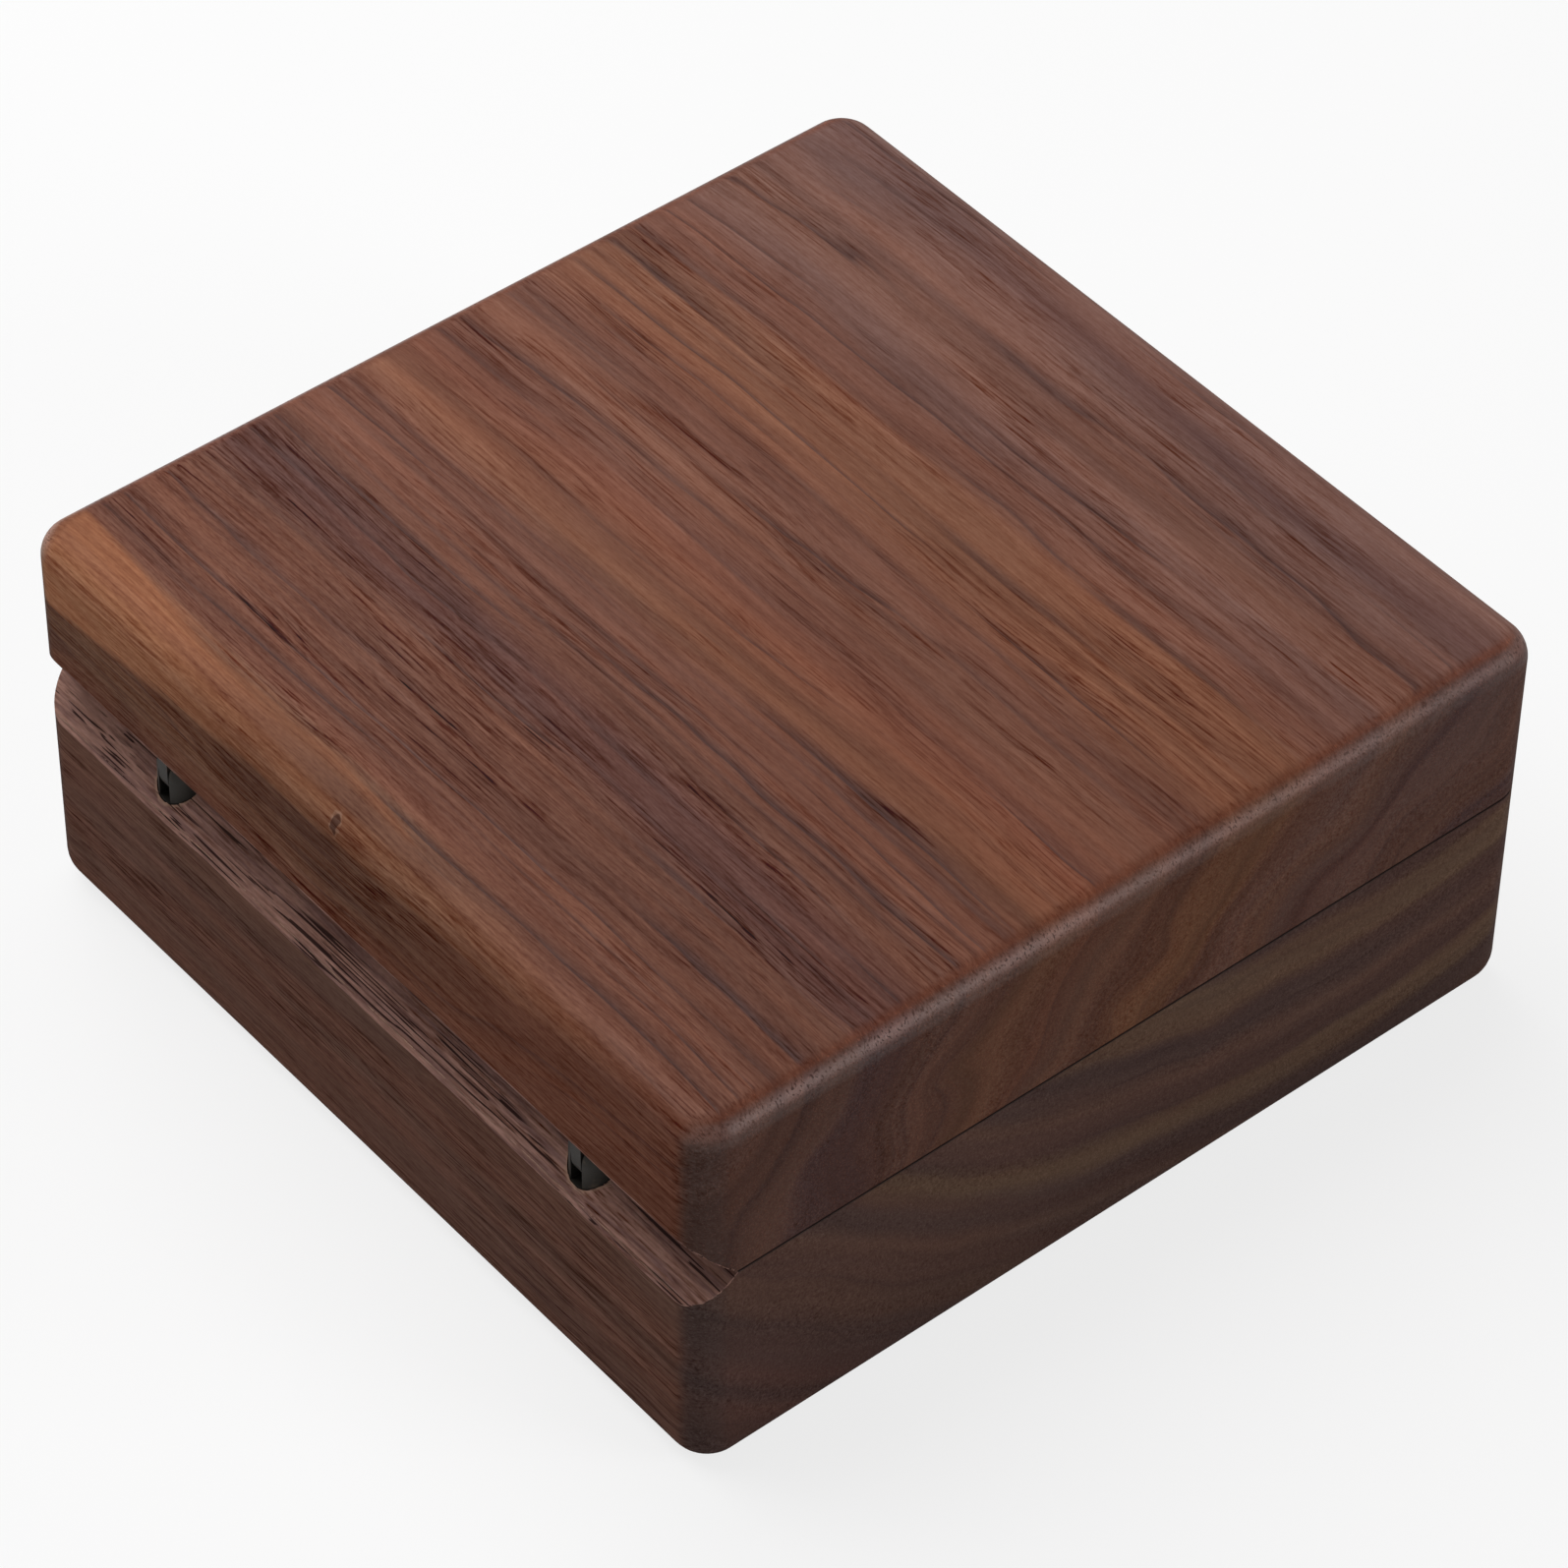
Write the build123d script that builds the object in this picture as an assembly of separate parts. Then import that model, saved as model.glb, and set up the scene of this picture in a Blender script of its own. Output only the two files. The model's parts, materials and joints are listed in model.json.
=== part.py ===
from build123d import *
import os
from math import sqrt

# A small walnut box in two halves, the base and the lid, each milled out of one block of wood.
# Two barrel hinges stand in drilled holes along the back edge, and the halves meet the hinge axis
# with a V groove whose faces close on each other when the lid stands upright. Pairs of magnets
# hold the front shut. Millimetres. X runs along the hinged edge, the front that opens faces -Y,
# the hinges are at +Y, and the origin is on the table under the middle of the box.

# Outside of the box
box_length = 100.0
box_width = 100.0
base_height = 26.0
lid_height = 19.0
seam_gap = 0.15
corner_radius = 4.0
bottom_edge_radius = 3.6
top_edge_radius = 3.0

# Milled hollows
floor_thickness = 6.0
lid_top_thickness = 7.0
hollow_corner_radius = 6.0
mouth_chamfer = 0.6

# Barrel hinges
barrel_diameter = 5.8
barrel_length = 10.0
barrel_end_chamfer = 0.4
hinge_inset = 19.0
tongue_thickness = 1.4
tongue_side_gap = 0.1
knuckle_gap = 0.1
pin_diameter = 1.5
pin_end_inset = 0.15
pin_seat_gap = 0.01
pin_running_gap = 0.04

# Waist turned into each barrel, which holds the glue
glue_gap = 0.1
waist_length = 4.0
waist_depth = 0.3
waist_end_space = 1.6
hole_end_space = 0.4

# Wood left around the hinge holes, and the play that lets the lid reach its stop
wood_behind_barrel = 1.0
wood_inside_barrel = 2.0
stop_gap = 0.1

# Magnets in the front rims
magnet_diameter = 5.0
magnet_thickness = 2.0
magnet_inset = 15.0
magnet_glue_gap = 0.05
magnet_recess = 0.1

# Sizes that follow from the ones above
barrel_radius = barrel_diameter / 2
barrel_hole_radius = barrel_radius + glue_gap
hinge_setback = wood_behind_barrel + barrel_hole_radius
wall = hinge_setback + barrel_hole_radius + wood_inside_barrel
hinge_y = box_width / 2 - hinge_setback
hinge_x = box_length / 2 - hinge_inset
groove_leg = hinge_setback + stop_gap
shoulder = barrel_radius + knuckle_gap
tongue_reach = sqrt(barrel_radius**2 - (tongue_thickness / 2) ** 2)
pin_radius = pin_diameter / 2
pin_length = barrel_diameter - 2 * pin_end_inset
magnet_x = box_length / 2 - magnet_inset
magnet_y = wall / 2 - box_width / 2
seam_z = base_height
base_top = seam_z - seam_gap / 2
lid_bottom = seam_z + seam_gap / 2
box_top = base_height + lid_height

# How far a cutter runs past the wood that it leaves
overrun = 1.0


def upright_bar(radius, low, high):
    """A round bar on the Z axis between two heights."""
    return Pos(0, 0, (low + high) / 2) * Cylinder(radius, high - low)


def cross_bar(radius, length):
    """A round bar along X through the origin."""
    return Rot(0, 90, 0) * Cylinder(radius, length)


def rounded_block(low, high, outer_end, edge_radius):
    """The block of one half, with its upright edges and the rim of its outer end rounded."""
    outline = RectangleRounded(box_length, box_width, corner_radius)
    block = extrude(Pos(0, 0, low) * outline, high - low)
    rim = block.faces().sort_by(Axis.Z)[outer_end].edges()
    return fillet(rim, edge_radius)


def hollow(floor, mouth):
    """The milled space between its flat floor and its mouth, with the cutter's round corners."""
    outline = RectangleRounded(box_length - 2 * wall, box_width - 2 * wall, hollow_corner_radius)
    return extrude(Pos(0, 0, floor) * outline, mouth - floor)


def open_mouth(half, mouth_end):
    """Breaks the sharp edge around the mouth of a half's hollow."""
    rim_face = half.faces().sort_by(Axis.Z)[mouth_end]
    return chamfer(rim_face.inner_wires()[0].edges(), mouth_chamfer)


def hinge_groove():
    """The V groove along the hinged edge, cut from both halves at once."""
    reach = groove_leg + overrun
    bottom = box_width / 2 - groove_leg
    section = Polygon(
        (bottom, seam_z),
        (bottom + reach, seam_z - reach),
        (bottom + reach, seam_z + reach),
        align=None,
    )
    return extrude(Plane.YZ * section, box_length / 2 + overrun, both=True)


def barrel_holes(end):
    """The drilled holes for the barrels, from past the seam to the given height."""
    past_seam = seam_z + overrun if end < seam_z else seam_z - overrun
    hole = upright_bar(barrel_hole_radius, min(end, past_seam), max(end, past_seam))
    return [Pos(x, hinge_y, 0) * hole for x in (-hinge_x, hinge_x)]


def magnet_holes(rim, end):
    """The drilled holes for the magnets in the front rim of one half."""
    past_rim = rim + overrun if end < rim else rim - overrun
    radius = magnet_diameter / 2 + magnet_glue_gap
    hole = upright_bar(radius, min(end, past_rim), max(end, past_rim))
    return [Pos(x, magnet_y, 0) * hole for x in (-magnet_x, magnet_x)]


def base_box():
    """The lower half: a tray with a milled hollow."""
    base = rounded_block(0, base_top, 0, bottom_edge_radius)
    base -= hollow(floor_thickness, base_top + overrun)
    base = open_mouth(base, -1)
    base -= hinge_groove()
    base -= barrel_holes(seam_z - barrel_length - hole_end_space)
    base -= magnet_holes(base_top, base_top - magnet_recess - magnet_thickness)
    return base


def lid():
    """The upper half, with a shallower hollow."""
    cover = rounded_block(lid_bottom, box_top, -1, top_edge_radius)
    cover -= hollow(box_top - lid_top_thickness, lid_bottom - overrun)
    cover = open_mouth(cover, 0)
    cover -= hinge_groove()
    cover -= barrel_holes(seam_z + barrel_length + hole_end_space)
    cover -= magnet_holes(lid_bottom, lid_bottom + magnet_recess + magnet_thickness)
    return cover


def turned_barrel():
    """One turned barrel, hanging down from the hinge axis, with a round head about that axis."""
    waist_radius = barrel_radius - waist_depth
    waist_low = waist_end_space - barrel_length
    side = Polyline(
        (0, barrel_radius),
        (0, -barrel_length),
        (barrel_radius - barrel_end_chamfer, -barrel_length),
        (barrel_radius, barrel_end_chamfer - barrel_length),
        (barrel_radius, waist_low),
        (waist_radius, waist_low + waist_depth),
        (waist_radius, waist_low + waist_length - waist_depth),
        (barrel_radius, waist_low + waist_length),
        (barrel_radius, 0),
    )
    head = CenterArc((0, 0), barrel_radius, 0, 90)
    return revolve(Plane.XZ * make_face([*side.edges(), head]), Axis.Z)


def fork_barrel():
    """The barrel in the base: its head is slotted into two cheeks that hold the pin."""
    slot = Box(
        tongue_thickness + 2 * tongue_side_gap,
        2 * barrel_diameter,
        2 * barrel_diameter,
        align=(Align.CENTER, Align.CENTER, Align.MIN),
    )
    fork = turned_barrel() - Pos(0, 0, -shoulder) * slot
    return fork - cross_bar(pin_radius + pin_seat_gap, 2 * barrel_diameter)


def tongue_barrel():
    """The barrel in the lid: a flat tongue with a round end reaches into the slot, onto the pin."""
    body = split(Rot(180, 0, 0) * turned_barrel(), Plane.XY.offset(shoulder), keep=Keep.TOP)
    neck = Pos(0, 0, shoulder / 2) * Box(tongue_thickness, 2 * tongue_reach, shoulder)
    tongue = neck + cross_bar(tongue_reach, tongue_thickness)
    return body + tongue - cross_bar(pin_radius + pin_running_gap, 2 * barrel_diameter)


def magnet():
    """A disc magnet standing on the XY plane."""
    return upright_bar(magnet_diameter / 2, 0, magnet_thickness)


def all_nodes():
    """Every piece in its place, under its node's name."""
    nodes = {"base_box": base_box(), "lid": lid()}
    for side, direction in (("left", -1), ("right", 1)):
        at_hinge = Pos(direction * hinge_x, hinge_y, seam_z)
        nodes[f"{side}_hinge_base_barrel"] = at_hinge * fork_barrel()
        nodes[f"{side}_hinge_lid_barrel"] = at_hinge * tongue_barrel()
        nodes[f"{side}_hinge_pin"] = at_hinge * cross_bar(pin_radius, pin_length)
        base_floor = base_top - magnet_recess - magnet_thickness
        lid_face = lid_bottom + magnet_recess
        nodes[f"{side}_base_magnet"] = Pos(direction * magnet_x, magnet_y, base_floor) * magnet()
        nodes[f"{side}_lid_magnet"] = Pos(direction * magnet_x, magnet_y, lid_face) * magnet()
    return nodes


os.makedirs("parts", exist_ok=True)
for name, shape in all_nodes().items():
    export_step(shape, f"parts/{name}.step")
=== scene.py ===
import json
import math
from collections import namedtuple

import bmesh
import bpy
from bpy.props import FloatProperty, FloatVectorProperty, IntProperty, PointerProperty
from mathutils import Euler, Matrix, Vector


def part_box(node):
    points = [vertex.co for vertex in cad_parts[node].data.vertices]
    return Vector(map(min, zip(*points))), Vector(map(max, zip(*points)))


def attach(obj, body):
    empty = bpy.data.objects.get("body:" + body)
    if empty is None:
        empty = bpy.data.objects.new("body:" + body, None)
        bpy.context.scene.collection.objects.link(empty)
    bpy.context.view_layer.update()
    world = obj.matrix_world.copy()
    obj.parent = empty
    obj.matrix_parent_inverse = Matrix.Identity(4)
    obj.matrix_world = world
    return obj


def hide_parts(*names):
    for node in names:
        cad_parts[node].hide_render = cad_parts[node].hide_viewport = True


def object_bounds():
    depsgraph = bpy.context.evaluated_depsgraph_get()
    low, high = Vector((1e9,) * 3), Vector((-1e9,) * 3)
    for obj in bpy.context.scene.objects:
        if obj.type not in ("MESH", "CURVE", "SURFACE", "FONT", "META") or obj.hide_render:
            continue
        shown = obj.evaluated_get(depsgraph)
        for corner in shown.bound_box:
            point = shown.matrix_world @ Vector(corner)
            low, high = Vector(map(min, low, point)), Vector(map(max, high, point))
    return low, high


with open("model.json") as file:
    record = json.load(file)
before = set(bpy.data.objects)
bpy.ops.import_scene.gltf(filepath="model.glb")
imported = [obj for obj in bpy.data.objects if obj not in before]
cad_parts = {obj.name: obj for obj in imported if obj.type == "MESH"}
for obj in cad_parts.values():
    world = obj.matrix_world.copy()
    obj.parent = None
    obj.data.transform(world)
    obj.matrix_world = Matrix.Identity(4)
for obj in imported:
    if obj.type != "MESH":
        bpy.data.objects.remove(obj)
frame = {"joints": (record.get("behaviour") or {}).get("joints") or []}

bl_info = {
    "name": "Walnut Hinge Box",
    "version": (1, 0, 0),
    "blender": (4, 5, 0),
    "location": "View3D > Sidebar > Walnut Box",
    "description": "Makes a small walnut box with barrel hinges in a V groove",
    "category": "Object",
}

MM = 0.001

# Where the frame has the hinge axis, the seam and the small metal parts
LOW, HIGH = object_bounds()
AXIS = Vector(frame["joints"][0]["pos_m"])
_, BASE_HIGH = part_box("base_box")
LID_LOW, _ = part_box("lid")
BARREL_LOW, BARREL_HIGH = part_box("left_hinge_base_barrel")
TONGUE_LOW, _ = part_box("left_hinge_lid_barrel")
PIN_LOW, PIN_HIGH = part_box("left_hinge_pin")
MAGNET_LOW, MAGNET_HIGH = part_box("left_base_magnet")
HINGE_X = -(BARREL_LOW.x + BARREL_HIGH.x) / 2
BARREL_RADIUS = (BARREL_HIGH.x - BARREL_LOW.x) / 2
BARREL_LENGTH = AXIS.z - BARREL_LOW.z
TONGUE_REACH = AXIS.z - TONGUE_LOW.z
PIN_RADIUS = (PIN_HIGH.z - PIN_LOW.z) / 2
MAGNET_RADIUS = (MAGNET_HIGH.x - MAGNET_LOW.x) / 2
SIDES = (("left", -1), ("right", 1))


def measure(name, description, millimetres):
    """A length setting, in metres, whose default is given in millimetres."""
    default = millimetres * MM
    return FloatProperty(name=name, description=description, default=default, min=0, unit="LENGTH")


def swatch(name, description, default):
    """A colour setting, as linear values."""
    return FloatVectorProperty(
        name=name, description=description, default=default, size=3, min=0, max=1, subtype="COLOR")


class BoxSizes(bpy.types.PropertyGroup):
    """Sizes of the two wooden halves."""

    corner_radius: measure("Corner radius", "Rounding of the upright edges", 4.0)
    top_radius: measure("Top edge radius", "Rounding around the top of the lid", 3.0)
    bottom_radius: measure("Bottom edge radius", "Rounding around the underside of the base", 3.6)
    wall: measure("Wall", "Wood between the outside and the hollow", 9.0)
    floor: measure("Floor", "Wood under the hollow of the base", 6.0)
    roof: measure("Roof", "Wood over the hollow of the lid", 7.0)
    hollow_radius: measure("Hollow corner radius", "Radius that the cutter leaves in the corners", 6.0)
    hollow_foot: measure("Hollow foot radius", "Rounding where the wall meets the hollow's floor", 0.8)
    mouth_chamfer: measure("Mouth chamfer", "Chamfer around the mouth of each hollow", 0.6)
    groove: measure("Groove", "Depth of the V groove along the hinged edge", 4.1)
    hole_play: measure("Hole play", "Gap for glue around a hinge barrel", 0.1)
    hole_end: measure("Hole end", "Free depth behind a hinge barrel", 0.4)
    arris: measure("Arris", "Width of the sanded edges", 0.14)


class HingeSizes(bpy.types.PropertyGroup):
    """Sizes of the turned hinge barrels, their pins and the magnets."""

    end_chamfer: measure("End chamfer", "Chamfer at the blind end of a barrel", 0.4)
    waist_length: measure("Waist length", "Length of the turned waist that holds the glue", 4.0)
    waist_depth: measure("Waist depth", "Depth of the turned waist", 0.3)
    waist_end: measure("Waist end", "Full thickness left at the blind end", 1.6)
    shoulder: measure("Shoulder", "Distance from the pin to the slot's floor", 3.0)
    tongue: measure("Tongue", "Thickness of the tongue", 1.4)
    tongue_play: measure("Tongue play", "Gap on each side of the tongue", 0.1)
    pin_play: measure("Pin play", "Gap around the pin where the tongue turns on it", 0.04)
    edge: measure("Edge", "Broken edge on the metal", 0.07)
    magnet_edge: measure("Magnet edge", "Rounded rim of a magnet", 0.2)


class SurfaceTones(bpy.types.PropertyGroup):
    """Colours of the wood and the metal, as linear values."""

    pore: swatch("Pore", "Inside of the open pores", (0.022, 0.013, 0.011))
    metal: swatch("Barrel metal", "Dark finish of the hinge barrels", (0.024, 0.021, 0.018))
    steel: swatch("Pin steel", "Drawn wire of the pins", (0.44, 0.43, 0.41))
    nickel: swatch("Magnet plating", "Nickel plating of the magnets", (0.50, 0.485, 0.46))


class TornFibres(bpy.types.PropertyGroup):
    """Wood fibres that the cutter pulled out of the groove face of the base."""

    count: IntProperty(
        name="Fibres", description="Slivers along the groove and the hole rims", default=230, min=0)
    length: measure("Length", "Length of the longest sliver", 3.4)
    width: measure("Width", "Width of a sliver at its root", 0.13)
    lift: measure("Lift", "How far a sliver's tip bends off its line", 0.02)
    seed: IntProperty(name="Seed", description="Arrangement of the slivers", default=6)


class StageLight(bpy.types.PropertyGroup):
    """Strengths of the studio light."""

    sky: FloatProperty(
        name="Sky", description="Even light from all round", default=0.136, min=0)
    key: FloatProperty(
        name="Key", description="Power of the large softbox overhead",
        default=5.4, min=0, unit="POWER")
    side: FloatProperty(
        name="Side", description="Power of the softbox that edges the end grain",
        default=3.0, min=0, unit="POWER")


def math_node(operation, reflected=False):
    """A method that adds one Math node for a signal and the other value, if there is one."""
    def method(signal, *others):
        values = (*others, signal) if reflected else (signal, *others)
        return signal.maths(operation, *values)

    return method


class Signal:
    """One output socket. Python's operators on it add Math nodes to its tree."""

    def __init__(self, bench, socket):
        self.bench = bench
        self.socket = socket

    def maths(self, operation, *values):
        return self.bench.node("ShaderNodeMath", {"operation": operation}, dict(enumerate(values)))

    __add__ = math_node("ADD")
    __radd__ = math_node("ADD", reflected=True)
    __sub__ = math_node("SUBTRACT")
    __rsub__ = math_node("SUBTRACT", reflected=True)
    __mul__ = math_node("MULTIPLY")
    __rmul__ = math_node("MULTIPLY", reflected=True)
    __truediv__ = math_node("DIVIDE")
    __pow__ = math_node("POWER")
    __abs__ = math_node("ABSOLUTE")
    root = math_node("SQRT")
    least = math_node("MINIMUM")
    most = math_node("MAXIMUM")

    def ramp(self, low, high, start=0.0, end=1.0, soft=True):
        """The value carried from low..high to start..end, held at both ends."""
        settings = {"interpolation_type": "SMOOTHSTEP" if soft else "LINEAR"}
        sockets = {"Value": self, "From Min": low, "From Max": high, "To Min": start, "To Max": end}
        return self.bench.node("ShaderNodeMapRange", settings, sockets)


# How far apart two seeds of a noise lie, in its own lengths
NOISE_STEP = 13.7


class Bench:
    """A node tree in the making. Its node method adds any node."""

    def __init__(self, tree):
        self.tree = tree
        self.tree.nodes.clear()

    def node(self, kind, settings=None, sockets=None, output=0):
        """Adds a node, sets its settings, then its sockets, and gives back one output or several."""
        made = self.tree.nodes.new(kind)
        for name, value in (settings or {}).items():
            if name == "stops":
                self.set_stops(made.color_ramp, value)
            else:
                setattr(made, name, value)
        for name, value in (sockets or {}).items():
            self.feed(made.inputs[name], value)
        if isinstance(output, (list, tuple)):
            return [Signal(self, made.outputs[one]) for one in output]
        return Signal(self, made.outputs[output]) if made.outputs else made

    def feed(self, socket, value):
        if isinstance(value, Signal):
            self.tree.links.new(value.socket, socket)
        else:
            socket.default_value = value

    @staticmethod
    def set_stops(ramp, stops):
        """Gives a colour ramp its stops, each a position and a linear colour."""
        while len(ramp.elements) > 1:
            ramp.elements.remove(ramp.elements[-1])
        ramp.elements[0].position = stops[0][0]
        ramp.elements[0].color = (*stops[0][1], 1)
        for position, colour in stops[1:]:
            ramp.elements.new(position).color = (*colour, 1)

    def mix(self, share, first, second, blend="MIX"):
        """One colour laid over another by a share."""
        sockets = {0: share, 6: self.opaque(first), 7: self.opaque(second)}
        return self.node("ShaderNodeMix", {"data_type": "RGBA", "blend_type": blend}, sockets, 2)

    def layers(self, colour, *layers):
        """A colour with others laid over it in turn, each by its share."""
        for share, layer in layers:
            colour = self.mix(share, colour, layer)
        return colour

    @staticmethod
    def opaque(colour):
        return colour if isinstance(colour, Signal) or len(colour) == 4 else (*colour, 1)

    def vary(self, colour, change, tint):
        """A colour made lighter or darker by a share, each of its three parts to its own degree."""
        sockets = {0: change, 1: tint, 2: (1, 1, 1)}
        factor = self.node("ShaderNodeVectorMath", {"operation": "MULTIPLY_ADD"}, sockets)
        return self.mix(1.0, colour, factor, "MULTIPLY")

    def split(self, vector):
        """The three numbers of a vector."""
        return self.node("ShaderNodeSeparateXYZ", None, {0: vector}, ("X", "Y", "Z"))

    def join(self, x, y, z):
        return self.node("ShaderNodeCombineXYZ", None, {0: x, 1: y, 2: z})

    def millimetres(self):
        """The three Object coordinates of a place, in millimetres."""
        place = self.node("ShaderNodeTexCoord", output="Object")
        sockets = {0: place, "Scale": 1 / MM}
        return self.split(self.node("ShaderNodeVectorMath", {"operation": "SCALE"}, sockets))

    def noise(self, parts, lengths, seed, detail=2.0, roughness=0.5):
        """Noise over three measures, each drawn out to its own length."""
        shift = NOISE_STEP * seed
        place = self.join(*[part / size + shift for part, size in zip(parts, lengths)])
        sockets = {"Vector": place, "Scale": 1.0, "Detail": detail, "Roughness": roughness}
        return self.node("ShaderNodeTexNoise", None, sockets)


def new_material(name):
    material = bpy.data.materials.new(name)
    material.use_nodes = True
    return material, Bench(material.node_tree)


def close_material(bench, shader_sockets, bump=None, bump_distance=0.0):
    """Ends a material in a Principled shader, with a bump when there is one."""
    if bump is not None:
        sockets = {"Strength": 1.0, "Distance": bump_distance, "Height": bump}
        shader_sockets = {**shader_sockets, "Normal": bench.node("ShaderNodeBump", None, sockets)}
    shader = bench.node("ShaderNodeBsdfPrincipled", None, shader_sockets)
    bench.node("ShaderNodeOutputMaterial", None, {"Surface": shader})


def screen(red, green, blue):
    """A linear colour from the 0 to 255 values that a screen shows."""
    def linear(value):
        share = value / 255
        return share / 12.92 if share <= 0.04045 else ((share + 0.055) / 1.055) ** 2.4

    return tuple(linear(value) for value in (red, green, blue))


# Tones of walnut, oiled, raw in the groove and torn, and the tones of a painted highlight and a painted
# reflection
TAN = screen(121, 77, 55)
FAWN = screen(116, 75, 58)
ROSE = screen(112, 77, 66)
BROWN = screen(108, 68, 53)
RUSSET = screen(114, 68, 50)
CHESTNUT = screen(101, 64, 50)
PLUM = screen(88, 56, 49)
DUSK = screen(70, 50, 48)
OLIVE = screen(120, 90, 69)
MOSS = screen(113, 83, 68)
UMBER = screen(101, 75, 64)
HAZEL = screen(108, 77, 66)
SEPIA = screen(100, 73, 63)
SAP = screen(129, 81, 56)
PALE_SAP = screen(150, 101, 74)
# A painted reflection tone: the bluish grey of the pale surroundings seen in the finish
REFLECTION_GREY = screen(108, 108, 114)
EMBER = screen(112, 62, 44)
# A painted highlight tone, for the top edge of the lid's end grain
PAINTED_HIGHLIGHT = screen(178, 126, 114)
WORN = screen(80, 68, 65)
SMOKE = screen(62, 43, 42)
RAW = screen(152, 116, 104)
RAW_DARK = screen(122, 92, 86)
RAW_PORE = screen(42, 27, 26)
TORN = screen(172, 140, 120)
TORN_DARK = screen(112, 86, 74)
KNOT = screen(80, 51, 42)
HOLLOW_SHADE = screen(226, 224, 222)

# Tones on the metal and of the floor
RUBBED_BRASS = screen(72, 62, 52)
BLACK_SPECK = screen(28, 25, 22)
STEEL_STAIN = screen(120, 108, 92)
NICKEL_BLOOM = screen(150, 142, 126)
FLOOR_DARK = screen(232, 232, 232)
FLOOR_LIGHT = screen(236, 236, 236)

# The lid's heart lies in front of the box and below it. Heights and places are in millimetres.
LID_HEART = (-90.0, -34.0)
LID_TOP = 45.0
BASE_HEART = (-28.0, 106.0)


def lid_ring(y):
    """Radius of the growth ring that meets the top of the lid at y."""
    return math.hypot(y - LID_HEART[0], LID_TOP - LID_HEART[1])


# Broad tones of the lid, by where their rings meet its top
LID_TOP_BANDS = (
    (-49.0, ROSE), (-44.5, PLUM), (-41.0, ROSE), (-35.0, FAWN), (-30.0, ROSE), (-25.5, BROWN),
    (-22.5, BROWN), (-20.5, TAN), (-14.0, TAN), (-8.0, BROWN), (-3.0, FAWN), (0.5, BROWN),
    (4.0, RUSSET), (10.0, TAN), (13.0, BROWN), (18.0, BROWN), (22.0, CHESTNUT), (25.0, PLUM),
    (29.0, PLUM), (31.5, CHESTNUT), (38.0, CHESTNUT), (43.5, BROWN),
)

# Dark late wood of the lid: where each ring ends on its top, how wide it fades in, and how dark it gets
LID_LINES = (
    (-37.0, 0.8, 0.35), (-22.0, 0.8, 0.75), (-16.5, 0.6, 0.60), (-9.5, 0.5, 0.35), (-5.8, 0.6, 0.55),
    (2.2, 0.9, 0.70), (13.2, 0.8, 0.60), (16.4, 0.6, 0.55), (20.2, 0.6, 0.60),
    (25.6, 1.2, 0.40), (28.6, 1.4, 0.40), (31.2, 0.7, 0.40), (36.6, 0.6, 0.30), (42.6, 0.7, 0.25),
)

# Broad tones and dark late wood of the base, by the radius of each ring
BASE_BANDS = (
    (76.0, MOSS), (79.0, UMBER), (82.3, UMBER), (84.0, OLIVE), (87.4, OLIVE), (89.0, UMBER),
    (91.2, UMBER), (92.6, MOSS), (93.8, MOSS), (95.2, UMBER), (97.0, UMBER), (98.6, OLIVE),
    (100.2, OLIVE), (101.8, UMBER), (104.0, UMBER), (106.0, MOSS), (108.6, UMBER), (110.4, MOSS),
    (112.2, MOSS), (114.2, UMBER), (117.4, SEPIA), (119.4, HAZEL), (121.0, SEPIA), (123.6, HAZEL),
    (126.0, SEPIA), (129.0, HAZEL), (133.0, SEPIA),
)
BASE_LINES = (
    (82.6, 1.2, 0.20), (90.2, 1.8, 0.25), (96.4, 1.4, 0.20), (102.6, 1.4, 0.24), (115.6, 1.6, 0.15),
    (118.9, 0.8, 0.22), (121.9, 0.7, 0.20), (124.2, 0.7, 0.22), (127.4, 0.9, 0.25),
)

# How far red, green and blue follow a broad change of lightness: dark streaks are bluer
BROAD_TINT = (1.10, 1.04, 0.86)

# Millimetres from one thin dark line to the next, and in one unit of turn about the heart
YEAR_WIDTH = 2.6
TURN_LENGTH = 100

# Millimetres from one pass of the cutter to the next on a hollow's floor
LANE_WIDTH = 5.0

Figure = namedtuple(
    "Figure", "name heart bands lines swirl_from swirl seed end_tint fine_tint contrast pale_edge")

LID_FIGURE = Figure(
    name="Walnut lid", heart=LID_HEART,
    bands=[
        (72.0, BROWN), (77.0, PLUM), (80.0, FAWN), (84.0, BROWN),
        *[(lid_ring(y), tone) for y, tone in LID_TOP_BANDS], (162.0, BROWN)],
    lines=[(lid_ring(y), width, strength) for y, width, strength in LID_LINES],
    swirl_from=HIGH.z / MM, swirl=13.0, seed=1, end_tint=(0.65, 0.76, 0.82),
    fine_tint=(0.73, 1.05, 1.21), contrast=1.0, pale_edge=True)
BASE_FIGURE = Figure(
    name="Walnut base", heart=BASE_HEART, bands=BASE_BANDS, lines=BASE_LINES,
    swirl_from=LOW.z / MM, swirl=2.5, seed=3, end_tint=(0.58, 0.64, 0.75),
    fine_tint=(0.86, 1.02, 1.10), contrast=0.65, pale_edge=False)


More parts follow.
